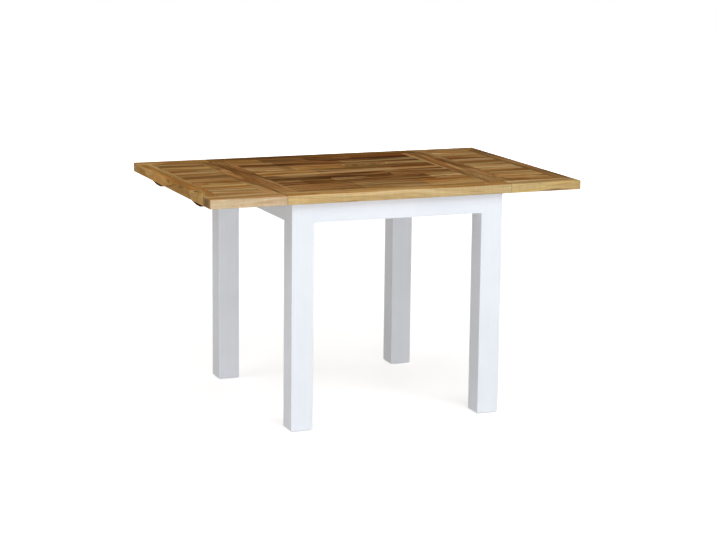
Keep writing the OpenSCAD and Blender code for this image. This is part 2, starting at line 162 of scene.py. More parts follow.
def makeSurroundings():
    s = surroundingsSettings
    world = bpy.data.worlds.new("surroundings")
    scene.world = world
    world.use_nodes = True
    world.node_tree.nodes.clear()
    add = functools.partial(addNode, world.node_tree)
    ambient = add("Background", {"Color": linear(s["tint"]), "Strength": s["strength"]})
    white = add("Background", {"Color": (1, 1, 1, 1), "Strength": 1.0})
    mix = add("MixShader", {0: seenDirectly(add), 1: ambient, 2: white})
    add("OutputWorld", {"Surface": mix})


# Matt white paper floor; it keeps the shadow of the table
def makeFloor():
    s = floorSettings
    material, add = newMaterial("white studio paper")
    fibre = add("TexNoise", {"Scale": 1 / s["fibre"], "Detail": 3.0})
    bump = add("Bump", {"Height": fibre, "Strength": s["bump"], "Distance": s["relief"]})
    paper = add("BsdfDiffuse", {"Color": linear(s["colour"]), "Normal": bump})
    away = add("VectorMath", {0: add("TexCoord").outputs["Object"]}, operation="LENGTH").outputs["Value"]
    lift = add("MapRange", {"Value": away, "From Min": s["reach"][0], "From Max": s["reach"][1],
                            "To Min": s["lift"], "To Max": s["liftFar"]})
    strength = add("Math", {0: seenDirectly(add), 1: lift}, operation="MULTIPLY")
    glow = add("Emission", {"Strength": strength})
    both = add("AddShader", {0: paper, 1: glow})
    add("OutputMaterial", {"Surface": both})
    mesh = bpy.data.meshes.new("floor")
    half = s["half"]
    corners = [(-half, -half, 0), (half, -half, 0), (half, half, 0), (-half, half, 0)]
    mesh.from_pydata(corners, [], [(0, 1, 2, 3)])
    mesh.materials.append(material)
    floor = bpy.data.objects.new("floor", mesh)
    scene.collection.objects.link(floor)


makeLights()
makeSurroundings()
makeFloor()
print("studio ready")

# Tones of mango wood after sanding and oiling: the ground colour, its dark streaks and its pale sapwood;
# redShare is how strongly patches of it lean to red, 1 where it isn't given
woodTones = {
    "russet": {"ground": "#623b15", "dark": "#3a1b08", "pale": "#8c5829"},
    "umber": {"ground": "#744d24", "dark": "#44250c", "pale": "#9f7342"},
    "brown": {"ground": "#7e5a2a", "dark": "#4b2a0c", "pale": "#aa8748"},
    "olive": {"ground": "#76572b", "dark": "#472d0e", "pale": "#a08256"},
    "walnut": {"ground": "#876539", "dark": "#573715", "pale": "#b49565"},
    "chestnut": {"ground": "#8f683a", "dark": "#5c3714", "pale": "#bb9562"},
    "honey": {"ground": "#9f7a49", "dark": "#68421c", "pale": "#caa872"},
    "tan": {"ground": "#9c7a4b", "dark": "#6c4e22", "pale": "#c3a477"},
    "golden": {"ground": "#a8834c", "dark": "#754e21", "pale": "#cdaa78"},
    "amber": {"ground": "#b38c51", "dark": "#845929", "pale": "#d0b27c"},
    "straw": {"ground": "#bf9e6a", "dark": "#8d6a39", "pale": "#e2c896"},
    # pale end faces: partly paler wood, partly painted light from the left
    "rubbed": {"ground": "#d2a765", "dark": "#a27440", "pale": "#dfbb7c", "redShare": 0.5},
    "sapwood": {"ground": "#d8bb85", "dark": "#be9b62", "pale": "#e4cd9a", "redShare": 0.15},
    "pinkSapwood": {"ground": "#d3b893", "dark": "#b8926e", "pale": "#dfcda6", "redShare": 0.15},
    # end tone of a front edge that fades darker towards its right end: painted shade
    "dustySapwood": {"ground": "#cbb07f", "dark": "#b3925e", "pale": "#d8c292", "redShare": 0.15},
    "ochreSapwood": {"ground": "#d0b47c", "dark": "#bb936a", "pale": "#d6c070", "redShare": 0.3},
    # end tone of a front edge that fades darker towards its right end: painted shade
    "dustyOchre": {"ground": "#c3a771", "dark": "#ad8861", "pale": "#cab36b", "redShare": 0.3},
    "dustyEnd": {"ground": "#b0905f", "dark": "#94704a", "pale": "#bf9f76", "redShare": 0.15},
    # darker than the other mango partly as painted shade, for the shade under the leaves where the arms show
    "arm": {"ground": "#5c3d20", "dark": "#38200e", "pale": "#7a5732", "redShare": 0.4},
    "sawn": {"ground": "#ab8858", "dark": "#866238", "pale": "#c3a473", "redShare": 0.4},
    "beech": {"ground": "#cda67a", "dark": "#b0855a", "pale": "#dcbb92", "redShare": 0.4},
}

# Tone of each board: rows and strips run from the back, boards in a row from the left
boardTones = {
    "top_front_board": ["amber"],
    "top_back_board": ["brown"],
    "top_left_end_board": ["chestnut"],
    "top_right_end_board": ["honey"],
    "top_row_1": ["amber", "chestnut", "umber", "russet"],
    "top_row_2": ["chestnut", "umber", "walnut"],
    "top_row_3": ["honey", "amber", "tan", "honey"],
    "top_row_4": ["amber", "tan", "chestnut"],
    "top_row_5": ["olive", "umber", "honey"],
    "top_row_6": ["chestnut", "brown", "chestnut", "straw"],
    "top_row_7": ["chestnut", "tan", "amber"],
    "leaf_left_outer_board": ["amber"],
    "leaf_left_inner_board": ["honey"],
    "leaf_left_front_board": ["straw"],
    "leaf_left_back_board": ["amber"],
    "leaf_left_strips": ["tan", "amber", "honey", "straw", "chestnut", "golden", "amber", "straw", "straw"],
    "leaf_right_outer_board": ["walnut"],
    "leaf_right_inner_board": ["chestnut"],
    "leaf_right_front_board": ["straw"],
    "leaf_right_back_board": ["tan"],
    "leaf_right_strips": ["straw", "straw", "chestnut", "tan", "straw", "straw", "golden", "amber",
                          "golden"],
}

# Outer edges that show other wood than the board's top face, mostly the pale sapwood at the outside of the
# log;
# the two tones are those at the start and the end of the board. Front edges fade darker towards their right
# end as painted shade, and the left end faces of the left leaf are partly paler wood and partly painted light
# from the left
edgeTones = {
    # front edges fade darker towards their right end as painted shade
    "top_front_board": {"front": ("sapwood", "dustySapwood")},
    "leaf_left_front_board": {"front": ("pinkSapwood", "pinkSapwood"), "left": ("dustyEnd", "dustyEnd")},
    "leaf_right_front_board": {"front": ("ochreSapwood", "dustyOchre")},
    # left end faces of the left leaf: partly paler wood, partly painted light from the left
    "leaf_left_outer_board": {"left": ("rubbed", "rubbed")},
    "leaf_left_back_board": {"left": ("rubbed", "rubbed")},
}

# Knots and dark burr figure, as x, y and half length in mm
knots = {
    "top_row_3": [(-174, 136, 26), (62, 132, 34), (140, 140, 30)],
    "leaf_left_outer_board": [(-640, -254, 30)],
    "leaf_left_strips": [(-560, -110, 22)],
    "leaf_right_strips": [(470, -322, 24)],
    "leaf_right_inner_board": [(412, -250, 26)],
    "top_row_6": [(255, -187, 24)],
}
noKnot = Vector((9, 9, 0))  # far from any knot, in half lengths of it

# Sizes of the mango's figure, along and across the grain, and where the noises turn into figure
mangoFigure = {
    "ringWidth": 6.5 * mm,
    "ringRise": {"From Max": 0.85},  # each ring darkens slowly
    "ringFall": {"From Min": 0.86},  # and ends sharply
    "wander": 33 * mm,            # how far the rings stray at most
    "wanderLength": 300 * mm,
    "wanderWidth": 52 * mm,
    "bandLength": 650 * mm,       # broad bands of heartwood
    "bandWidth": 30 * mm,
    "streakLength": 360 * mm,
    "streakWidth": 9 * mm,
    "streakShare": 0.35,          # of the streaks in bands and streaks together
    "darkRange": {"From Min": 0.492, "From Max": 0.543},
    "paleRange": {"From Min": 0.486, "From Max": 0.432},
    "amounts": (0.85, 0.25, 0.85),  # of dark wood, rings and pale wood, where a board has none of its own
    "lineLength": 330 * mm,       # thin mineral lines, almost black
    "lineWidth": 4.5 * mm,
    "lineRange": {"From Min": 0.6, "From Max": 0.68, "To Max": 0.45},
    "lineColour": "#382310",
    "knotNear": {"From Min": 2.6, "From Max": 0.2},  # distances from a knot, in half lengths of it
    "knotCore": {"From Min": 0.75, "From Max": 0.15, "To Max": 0.8},
    "knotColour": "#2c1a0d",
    "knotPush": 22 * mm,          # how far a knot bends the rings
    "churn": 70 * mm,             # how far the burr round a knot throws them about
    "churnLength": 26 * mm,
    "churnWidth": 34 * mm,
    "mottleLength": 300 * mm,     # patches that lean to red
    "mottleWidth": 20 * mm,
    "mottleRange": {"From Min": 0.44, "From Max": 0.64},
    "mottleTint": (1.18, 0.92, 0.74),
    "fibreLength": 90 * mm,
    "fibreWidth": 1.3 * mm,       # drawn coarser than real fibres, which are too fine to show
    "fibreShade": {"From Min": 0.3, "From Max": 0.7, "To Min": 0.8, "To Max": 1.14},
    "poreLength": 6 * mm,
    "poreWidth": 0.55 * mm,
    "poreRange": {"From Min": 0.62, "From Max": 0.72},
    "poreShade": {"To Min": 1.0, "To Max": 0.7},
    "curlLength": 13 * mm,        # faint ripple across the grain
    "curlWidth": 70 * mm,
    "curlShade": {"From Min": 0.3, "From Max": 0.7, "To Min": 0.95, "To Max": 1.05},
    "roughness": {"From Min": 0.3, "From Max": 0.7, "To Min": 0.7, "To Max": 0.83},
    "gloss": 0.005,               # bare oiled wood has no film that would shine
    "bump": 0.3,
    "relief": 0.1 * mm,
}

# Mango as it comes from the saw: rougher, with a calmer figure
sawnFigure = {
    **mangoFigure,
    "amounts": (0.45, 0.3, 0.5),
    "roughness": {"From Min": 0.3, "From Max": 0.7, "To Min": 0.8, "To Max": 0.93},
    "relief": 0.25 * mm,
}

# Close-grained beech of the dowels: fine short flecks
beechFigure = {
    **mangoFigure,
    "ringWidth": 2.2 * mm,
    "wander": 4 * mm,
    "bandWidth": 12 * mm,
    "streakWidth": 3 * mm,
    "fibreLength": 8 * mm,
    "fibreWidth": 0.8 * mm,
    "poreLength": 2.5 * mm,
    "poreWidth": 0.4 * mm,
    "amounts": (0.3, 0.2, 0.4),
    "roughness": {"From Min": 0.3, "From Max": 0.7, "To Min": 0.55, "To Max": 0.68},
}


# Solid wood. A board made here carries its own grain as attributes. A CAD piece takes the frame's axes,
# turned about Z in degrees where it lies askew, the grain along one of them, and a place in metres
# across that axis for the heart of the log
def woodMaterial(name, figure, tone=None, axis=0, heart=(0, 0), turn=0):
    material, add = newMaterial(name)
    f = figure
    if tone:
        frameAxes = add("VectorRotate", {"Vector": add("TexCoord").outputs["Object"],
                                         "Angle": math.radians(turn)}, rotation_type="Z_AXIS")
        frameAxes = add("SeparateXYZ", {0: frameAxes})
        order = {0: "XYZ", 1: "YXZ"}[axis]
        turned = add("CombineXYZ", {i: frameAxes.outputs[order[i]] for i in range(3)})
        place = add("VectorMath", {0: turned, 1: (0, *heart)}, operation="SUBTRACT")
        ground, dark, pale = [linear(woodTones[tone][key]) for key in ("ground", "dark", "pale")]
        amounts = f["amounts"]
        faceShade = 1.0
        redShare = woodTones[tone]["redShare"]
        knotDistance = noKnot.length
    else:
        place = add("Attribute", attribute_name="grainPlace").outputs["Vector"]
        ground, dark, pale = [add("Attribute", attribute_name=key).outputs["Color"]
                              for key in ("groundColour", "darkColour", "paleColour")]
        amounts = add("Attribute", attribute_name="figureAmounts").outputs["Vector"]
        amounts = add("SeparateXYZ", {0: amounts}).outputs
        faceShade = add("Attribute", attribute_name="faceShade").outputs["Fac"]
        redShare = add("Attribute", attribute_name="redShare").outputs["Fac"]
        knotPlace = add("Attribute", attribute_name="knotPlace").outputs["Vector"]
        knotDistance = add("VectorMath", {0: knotPlace}, operation="LENGTH").outputs["Value"]

    scales = {}
    for kind in ("wander", "churn", "band", "streak", "line", "mottle", "fibre", "pore", "curl"):
        scales[kind] = (1 / f[kind + "Length"], 1 / f[kind + "Width"], 1 / f[kind + "Width"])

    # the rings stray along the board, are thrown about in the burr and bend round a knot
    slow = add("VectorMath", {0: place, 1: scales["wander"]}, operation="MULTIPLY")
    stray = add("TexNoise", {"Vector": slow, "Scale": 1.0, "Detail": 2.0})
    stray = add("VectorMath", {0: stray.outputs["Color"], 1: (0.5, 0.5, 0.5)}, operation="SUBTRACT")
    bent = add("VectorMath", {0: stray, 1: (0, f["wander"], f["wander"]), 2: place}, operation="MULTIPLY_ADD")
    knotNear = add("MapRange", {"Value": knotDistance, **f["knotNear"]}, interpolation_type="SMOOTHSTEP")
    knotCore = add("MapRange", {"Value": knotDistance, **f["knotCore"]}, interpolation_type="SMOOTHSTEP")
    churn = add("VectorMath", {0: place, 1: scales["churn"]}, operation="MULTIPLY")
    churn = add("TexNoise", {"Vector": churn, "Scale": 1.0, "Detail": 1.0})
    churn = add("VectorMath", {0: churn.outputs["Color"], 1: (0.5, 0.5, 0.5)}, operation="SUBTRACT")
    churn = add("VectorMath", {0: churn, "Scale": knotNear}, operation="SCALE")
    bent = add("VectorMath", {0: churn, 1: (0, f["churn"], f["churn"]), 2: bent}, operation="MULTIPLY_ADD")
    across = add("VectorMath", {0: bent, 1: (0, 1, 1)}, operation="MULTIPLY")
    radius = add("VectorMath", {0: across}, operation="LENGTH").outputs["Value"]
    radius = add("Math", {0: knotNear, 1: f["knotPush"], 2: radius}, operation="MULTIPLY_ADD")

    turns = add("Math", {0: radius, 1: f["ringWidth"]}, operation="DIVIDE")
    ringStep = add("Math", {0: turns}, operation="FRACT")
    ringRise = add("MapRange", {"Value": ringStep, **f["ringRise"]}, interpolation_type="SMOOTHSTEP")
    ringFall = add("MapRange", {"Value": ringStep, **f["ringFall"]}, interpolation_type="SMOOTHSTEP")
    rings = add("Math", {0: ringRise, 1: ringFall}, operation="SUBTRACT")
    ringPart = add("Math", {0: rings, 1: amounts[1]}, operation="MULTIPLY")

    # bands, streaks and lines follow the same arches as the rings; mottling is broad,
    # fibres and pores are short and fine, and the curl lies across them
    along = add("SeparateXYZ", {0: bent}).outputs["X"]
    arches = add("CombineXYZ", {"X": along, "Y": radius})
    noises = {}
    for kind, source, detail in (("band", arches, 3.0), ("streak", arches, 4.0), ("line", arches, 2.0),
                                 ("mottle", bent, 2.0), ("fibre", place, 3.0), ("pore", place, 1.0),
                                 ("curl", bent, 2.0)):
        scaled = add("VectorMath", {0: source, 1: scales[kind]}, operation="MULTIPLY")
        noises[kind] = add("TexNoise", {"Vector": scaled, "Scale": 1.0, "Detail": detail, "Roughness": 0.6})
    both = add("Mix", {0: f["streakShare"], 2: noises["band"], 3: noises["streak"]})
    darkPart = add("MapRange", {"Value": both, **f["darkRange"], "To Max": amounts[0]},
                   interpolation_type="SMOOTHSTEP")
    palePart = add("MapRange", {"Value": both, **f["paleRange"], "To Max": amounts[2]},
                   interpolation_type="SMOOTHSTEP")
    linePart = add("MapRange", {"Value": noises["line"], **f["lineRange"]}, interpolation_type="SMOOTHSTEP")
    mottlePart = add("MapRange", {"Value": noises["mottle"], **f["mottleRange"], "To Max": redShare})
    pores = add("MapRange", {"Value": noises["pore"], **f["poreRange"]})

    colour = add("Mix", {0: palePart, 6: ground, 7: pale}, data_type="RGBA").outputs[2]
    for part, tint in ((darkPart, dark), (ringPart, dark), (linePart, linear(f["lineColour"])),
                       (knotCore, linear(f["knotColour"]))):
        colour = add("Mix", {0: part, 6: colour, 7: tint}, data_type="RGBA").outputs[2]
    redder = add("VectorMath", {0: colour, 1: f["mottleTint"]}, operation="MULTIPLY")
    colour = add("Mix", {0: mottlePart, 6: colour, 7: redder}, data_type="RGBA").outputs[2]
    # the face's shade holds darker end grain, painted shade in seams and joints and paler outer edges
    shade = faceShade
    for value, kind in ((noises["fibre"], "fibreShade"), (pores, "poreShade"), (noises["curl"], "curlShade")):
        factor = add("MapRange", {"Value": value, **f[kind]})
        shade = add("Math", {0: factor, 1: shade}, operation="MULTIPLY")
    colour = add("VectorMath", {0: colour, "Scale": shade}, operation="SCALE")

    height = add("Math", {0: noises["fibre"], 1: pores}, operation="SUBTRACT")
    bump = add("Bump", {"Height": height, "Strength": f["bump"], "Distance": f["relief"]})
    sheen = add("MapRange", {"Value": noises["fibre"], **f["roughness"]})
    wood = add("BsdfPrincipled", {"Base Color": colour, "Roughness": sheen, "Normal": bump, "IOR": 1.5,
                                  "Specular IOR Level": f["gloss"]})
    add("OutputMaterial", {"Surface": wood})
    return material


mangoOiled = woodMaterial("mango wood sanded and oiled", mangoFigure)
print("wood ready")

# Radii of the eased edges of the boards, by what the edge meets, and the steps that round them
easing = {
    "outer": 2.5 * mm,
    "joint": 1.0 * mm,
    "seam": 0.3 * mm,
    "corner": 6.0 * mm,
    "steps": 4,
}

# How much darker end grain is, how much painted shade darkens the eased crevices of the seams and joints,
# and how much paler an eased outer edge is, partly from wear and partly as a painted highlight on its
# rounding
faceShades = {"end": 0.85, "seam": 0.35, "joint": 0.45, "outer": 1.06}

boardSettings = {
    "draw": "g",                # another letter cuts all boards from other places of the log
    "sameLog": 0.65,            # chance that the next board of a row goes on with the figure of the last
    "heartAcross": (0.2, 1.5),  # how far the heart lies beside the board, in widths of the board
    "heartBelow": (8, 40),      # and below it, in mm
    "start": (1, 60),           # where along an endless log the board begins, in metres
    "slant": (-0.03, 0.03),     # how far the board lies askew in the log, sideways
    "dip": (0.02, 0.07),        # and up or down
    "amounts": ((0.75, 1), (0.3, 0.5), (0.75, 1.0)),  # least and most of dark wood, rings and pale wood
    "strength": {"row": 1.0, "strip": 0.8, "border": 0.65},  # of the figure
    "knotShape": 2.4,           # length of a knot in widths of it
    "glueLine": 0.005 * mm,     # half the gap of a glued butt joint
    "flat": 0.99,               # a face is part of an easing where no part of its normal is more
    "edgeFace": 0.7,            # a face takes its edge's tone where its normal leans out by more
}

tolerance = 0.01 * mm  # points nearer than this count as level

# What each board carries for the wood material
boardAttributes = (
    ("grainPlace", "FLOAT_VECTOR", "POINT"),
    ("knotPlace", "FLOAT_VECTOR", "POINT"),
    ("figureAmounts", "FLOAT_VECTOR", "POINT"),
    ("faceShade", "FLOAT", "FACE"),
    ("redShare", "FLOAT", "FACE"),
    ("groundColour", "FLOAT_COLOR", "CORNER"),
    ("darkColour", "FLOAT_COLOR", "CORNER"),
    ("paleColour", "FLOAT_COLOR", "CORNER"),
)


# One board between two corners; sides names what its left, right, front and back edges meet
def easedBoard(low, high, sides):
    bm = bmesh.new()
    bmesh.ops.create_cube(bm, size=1)
    for v in bm.verts:
        v.co = Vector([(low[i] + high[i]) / 2 + v.co[i] * (high[i] - low[i]) for i in range(3)])
    weightLayer = bm.edges.layers.float.new("bevel_weight_edge")
    middle = (Vector(low) + Vector(high)) / 2
    for edge in bm.edges:
        centre = (edge.verts[0].co + edge.verts[1].co) / 2 - middle
        touching = []
        if abs(centre.x) > tolerance:
            touching.append(sides["right" if centre.x > 0 else "left"])
        if abs(centre.y) > tolerance:
            touching.append(sides["back" if centre.y > 0 else "front"])
        if touching == ["outer", "outer"]:
            radius = easing["corner"]
        else:
            radius = min(easing[side] for side in touching)
        edge[weightLayer] = radius / easing["corner"]
    mesh = bpy.data.meshes.new("board")
    bm.to_mesh(mesh)
    bm.free()
    board = bpy.data.objects.new("board", mesh)
    scene.collection.objects.link(board)
    bevel = board.modifiers.new("easing", "BEVEL")
    bevel.width = easing["corner"]
    bevel.segments = easing["steps"]
    bevel.limit_method = "WEIGHT"
    bevel.use_clamp_overlap = False
    shaped = bpy.data.meshes.new_from_object(board.evaluated_get(bpy.context.evaluated_depsgraph_get()))
    bpy.data.objects.remove(board)
    bpy.data.meshes.remove(mesh)
    return shaped


# Spans of the boards of one node along an axis, read from the corners of its top face; the glued
# joints between them are closed
def spans(node, axis):
    vertices = nodes[node].data.vertices
    top = max(v.co.z for v in vertices)
    values = sorted({round(v.co[axis], 5) for v in vertices if v.co.z > top - tolerance})
    joints = [(a + b) / 2 for a, b in zip(values[1:-1:2], values[2::2])]
    starts = [values[0], *(joint + boardSettings["glueLine"] for joint in joints)]
    ends = [*(joint - boardSettings["glueLine"] for joint in joints), values[-1]]
    return list(zip(starts, ends))


# A place in a log for a board of some width
def drawCut(chance, width):
    s = boardSettings
    return {
        "across": chance.choice((-1, 1)) * chance.uniform(*s["heartAcross"]) * width,
        "below": chance.uniform(*s["heartBelow"]) * mm,
        "start": chance.uniform(*s["start"]),
        "slant": chance.uniform(*s["slant"]),
        "dip": chance.choice((-1, 1)) * chance.uniform(*s["dip"]),
    }


# Writes where each point of a board lies in the log, along the grain and across it from the heart,
# and how far it is from the board's knot
def placeInLog(mesh, board):
    low, high, axis, cut, knot = [board[key] for key in ("low", "high", "axis", "cut", "knot")]
    side = 1 - axis
    layers = mesh.attributes
    for i, v in enumerate(mesh.vertices):
        along = v.co[axis] - board["origin"][axis]
        across = v.co[side] - (low[side] + high[side]) / 2 - cut["across"] + cut["slant"] * along
        up = v.co.z - low[2] + cut["below"] + cut["dip"] * along
        layers["grainPlace"].data[i].vector = (cut["start"] + along, across, up)
        layers["figureAmounts"].data[i].vector = board["amounts"]
        away = noKnot
        if knot:
            alongKnot = (v.co[axis] - knot[axis] * mm) / (knot[2] * mm)
            acrossKnot = (v.co[side] - knot[side] * mm) / (knot[2] * mm) * boardSettings["knotShape"]
            away = Vector((alongKnot, acrossKnot, 0))
        layers["knotPlace"].data[i].vector = away


# Writes the shade and the tone of each face of a board
def toneFaces(mesh, board):
    low, high, axis = [board[key] for key in ("low", "high", "axis")]
    layers = mesh.attributes
    for i, face in enumerate(mesh.polygons):
        centre = face.center
        normal = face.normal
        gaps = {"left": centre.x - low[0], "right": high[0] - centre.x,
                "front": centre.y - low[1], "back": high[1] - centre.y}
        shade = 1.0 - (1.0 - faceShades["end"]) * normal[axis] ** 2
        # eased faces take the painted shade of a seam or joint, or the paler outer edge that is partly a
        # painted highlight
        if max(abs(c) for c in normal) < boardSettings["flat"]:
            shade *= faceShades[board["sides"][min(gaps, key=gaps.get)]]
        layers["faceShade"].data[i].value = shade
        facing = {"left": -normal.x, "right": normal.x, "front": -normal.y, "back": normal.y}
        side = max(facing, key=facing.get)
        toneNames = (board["tone"], board["tone"])
        if facing[side] > boardSettings["edgeFace"]:
            toneNames = board["edges"].get(side, toneNames)
        tones = [woodTones[name] for name in toneNames]
        layers["redShare"].data[i].value = tones[0].get("redShare", 1.0)
        for corner in face.loop_indices:
            place = mesh.vertices[mesh.loops[corner].vertex_index].co
            share = (place[axis] - low[axis]) / (high[axis] - low[axis])
            for name, key in (("groundColour", "ground"), ("darkColour", "dark"), ("paleColour", "pale")):
                start, end = [Vector(linear(tone[key])) for tone in tones]
                layers[name].data[corner].color = start.lerp(end, share)


# All boards of one node as one piece
def boardPiece(node, body, axis, sides):
    s = boardSettings
    chance = random.Random(node + s["draw"])
    low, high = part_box(node)
    kind = "border"
    parts = [(low, high)]
    if node.startswith("top_row"):
        kind = "row"
        parts = [(Vector((a, low.y, low.z)), Vector((b, high.y, high.z))) for a, b in spans(node, 0)]
    if node.endswith("strips"):
        kind = "strip"
        fromBack = reversed(spans(node, 1))
        parts = [(Vector((low.x, a, low.z)), Vector((high.x, b, high.z))) for a, b in fromBack]
    cut = None
    bm = bmesh.new()
    for (lowest, highest), tone in zip(parts, boardTones[node]):
        mesh = easedBoard(lowest, highest, sides)
        knot = None
        for x, y, size in knots.get(node, []):
            if lowest.x < x * mm < highest.x and lowest.y < y * mm < highest.y:
                knot = (x, y, size)
        amounts = [s["strength"][kind] * chance.uniform(*limits) for limits in s["amounts"]]
        newCut = drawCut(chance, highest[1 - axis] - lowest[1 - axis])
        if cut is None or kind == "strip" or chance.random() > s["sameLog"]:
            cut = newCut
        board = {"low": lowest, "high": highest, "axis": axis, "origin": (low + high) / 2, "cut": cut,
                 "knot": knot, "amounts": amounts, "sides": sides, "tone": tone,
                 "edges": edgeTones.get(node, {})}
        for name, dataType, domain in boardAttributes:
            mesh.attributes.new(name, dataType, domain)
        placeInLog(mesh, board)
        toneFaces(mesh, board)
        bm.from_mesh(mesh)
        bpy.data.meshes.remove(mesh)
    joined = bpy.data.meshes.new(node + "_wood")
    bm.to_mesh(joined)
    bm.free()
    joined.shade_smooth()
    joined.materials.append(mangoOiled)
    piece = bpy.data.objects.new(node + "_wood", joined)
    scene.collection.objects.link(piece)
    piece.modifiers.new("evenNormals", "WEIGHTED_NORMAL")
    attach(piece, body)
    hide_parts(node)


# Edges of a board that meets other boards of its panel all round
seams = {"left": "seam", "right": "seam", "front": "seam", "back": "seam"}


def makeTop():
    long = {**seams, "left": "joint", "right": "joint"}
    boardPiece("top_front_board", "table", 0, {**long, "front": "outer"})
    boardPiece("top_back_board", "table", 0, {**long, "back": "outer"})
    boardPiece("top_left_end_board", "table", 1, {**seams, "left": "joint"})
    boardPiece("top_right_end_board", "table", 1, {**seams, "right": "joint"})
    for i in range(1, 8):
        boardPiece(f"top_row_{i}", "table", 0, seams)


def makeLeaf(leaf, outer, inner):
    ends = {**seams, outer: "outer", inner: "joint"}
    boardPiece(leaf + "_outer_board", leaf, 1, {**seams, outer: "outer"})
    boardPiece(leaf + "_inner_board", leaf, 1, {**seams, inner: "joint"})
    boardPiece(leaf + "_front_board", leaf, 0, {**ends, "front": "outer"})
    boardPiece(leaf + "_back_board", leaf, 0, {**ends, "back": "outer"})
    boardPiece(leaf + "_strips", leaf, 0, seams)


makeTop()
makeLeaf("leaf_left", "left", "right")
makeLeaf("leaf_right", "right", "left")
print("boards made")

# Painted base
paintSettings = {
    "colour": "#eceef2",
    "grainLength": 160 * mm,
    "grainWidth": 5 * mm,    # wide grain of the wood under the paint
    "grainTint": {"From Min": 0.35, "From Max": 0.7, "To Min": 0.985, "To Max": 1.01},
    "cloud": 160 * mm,
    "cloudTint": {"From Min": 0.3, "From Max": 0.7, "To Min": 0.975, "To Max": 1.015},
    "stipple": 1.5 * mm,     # texture of the sprayed coat
    "stippleHeight": 0.25,   # as a share of the grain's
    "roughness": {"To Min": 0.33, "To Max": 0.45},
    "bump": 0.2,
    "relief": 0.15 * mm,
}


# Satin paint sprayed on mango wood: even and white, with the grain just felt under it
def paintMaterial(name, axis):
    s = paintSettings
    material, add = newMaterial(name)
    place = add("TexCoord").outputs["Object"]
    sizes = [s["grainWidth"]] * 3
    sizes[axis] = s["grainLength"]
    stretched = add("VectorMath", {0: place, 1: [1 / size for size in sizes]}, operation="MULTIPLY")
    grain = add("TexNoise", {"Vector": stretched, "Scale": 1.0, "Detail": 4.0, "Roughness": 0.6})
    stipple = add("TexNoise", {"Vector": place, "Scale": 1 / s["stipple"], "Detail": 2.0})
    cloud = add("TexNoise", {"Vector": place, "Scale": 1 / s["cloud"], "Detail": 2.0})
    cloudTint = add("MapRange", {"Value": cloud, **s["cloudTint"]})
    grainTint = add("MapRange", {"Value": grain, **s["grainTint"]})
    tint = add("Math", {0: cloudTint, 1: grainTint}, operation="MULTIPLY")
    colour = add("VectorMath", {0: linear(s["colour"])[:3], "Scale": tint}, operation="SCALE")
    height = add("Math", {0: stipple, 1: s["stippleHeight"], 2: grain}, operation="MULTIPLY_ADD")
    bump = add("Bump", {"Height": height, "Strength": s["bump"], "Distance": s["relief"]})
    sheen = add("MapRange", {"Value": stipple, **s["roughness"]})
    paint = add("BsdfPrincipled", {"Base Color": colour, "Roughness": sheen, "Normal": bump, "IOR": 1.5})
    add("OutputMaterial", {"Surface": paint})
    return material


def dress(names, material):
    for name in names:
        nodes[name].data.materials.clear()
        nodes[name].data.materials.append(material)


dress([name for name in nodes if name.startswith("leg_")], paintMaterial("painted wood upright", 2))
dress(["apron_front", "apron_back"], paintMaterial("painted wood along the table", 0))
dress(["apron_left", "apron_right"], paintMaterial("painted wood across the table", 1))
print("base painted")

# Bare woods under the top, with the axis of the grain and the heart's place in metres across it
bareWoods = {
    # the arms' tone is partly painted shade
    "planed mango of the arms": {
        "figure": mangoFigure, "tone": "arm", "axis": 0, "heart": (0.16, 0.70), "turn": 0,
        "nodes": ["leaf_left_arm_front", "leaf_left_arm_back", "leaf_right_arm_front", "leaf_right_arm_back"],
    },
    "sawn mango of the rails": {
        "figure": sawnFigure, "tone": "sawn", "axis": 1, "heart": (0.10, 0.66), "turn": 0,
        "nodes": ["cross_rail_left", "cross_rail_right"],
    },
    "sawn mango of the front_left block and its opposite": {
        "figure": sawnFigure, "tone": "sawn", "axis": 0, "heart": (0.25, 0.66), "turn": 45,
        "nodes": ["corner_block_front_left", "corner_block_back_right"],
    },
    "sawn mango of the front_right block and its opposite": {
        "figure": sawnFigure, "tone": "sawn", "axis": 0, "heart": (0.25, 0.66), "turn": -45,
        "nodes": ["corner_block_front_right", "corner_block_back_left"],
    },
    "beech of the dowels": {
        "figure": beechFigure, "tone": "beech", "axis": 0, "heart": (0.02, 0.75), "turn": 0,
        "nodes": ["leaf_left_dowels", "leaf_right_dowels"],
    },
}

for woodName, wood in bareWoods.items():
    bareWood = woodMaterial(woodName, wood["figure"], wood["tone"], wood["axis"], wood["heart"], wood["turn"])
    dress(wood["nodes"], bareWood)
print("inner woods done")

metalSettings = {
    "bright": "#cfd1d4",
    "dull": "#b4b6b2",
    "cloud": 9 * mm,       # cloudy patches of the zinc
    "cloudTwist": 0.6,
    "roughness": {"From Min": 0.3, "From Max": 0.7, "To Min": 0.28, "To Max": 0.46},
    "scratch": 0.4 * mm,
    "bump": 0.12,
    "relief": 0.05 * mm,
}


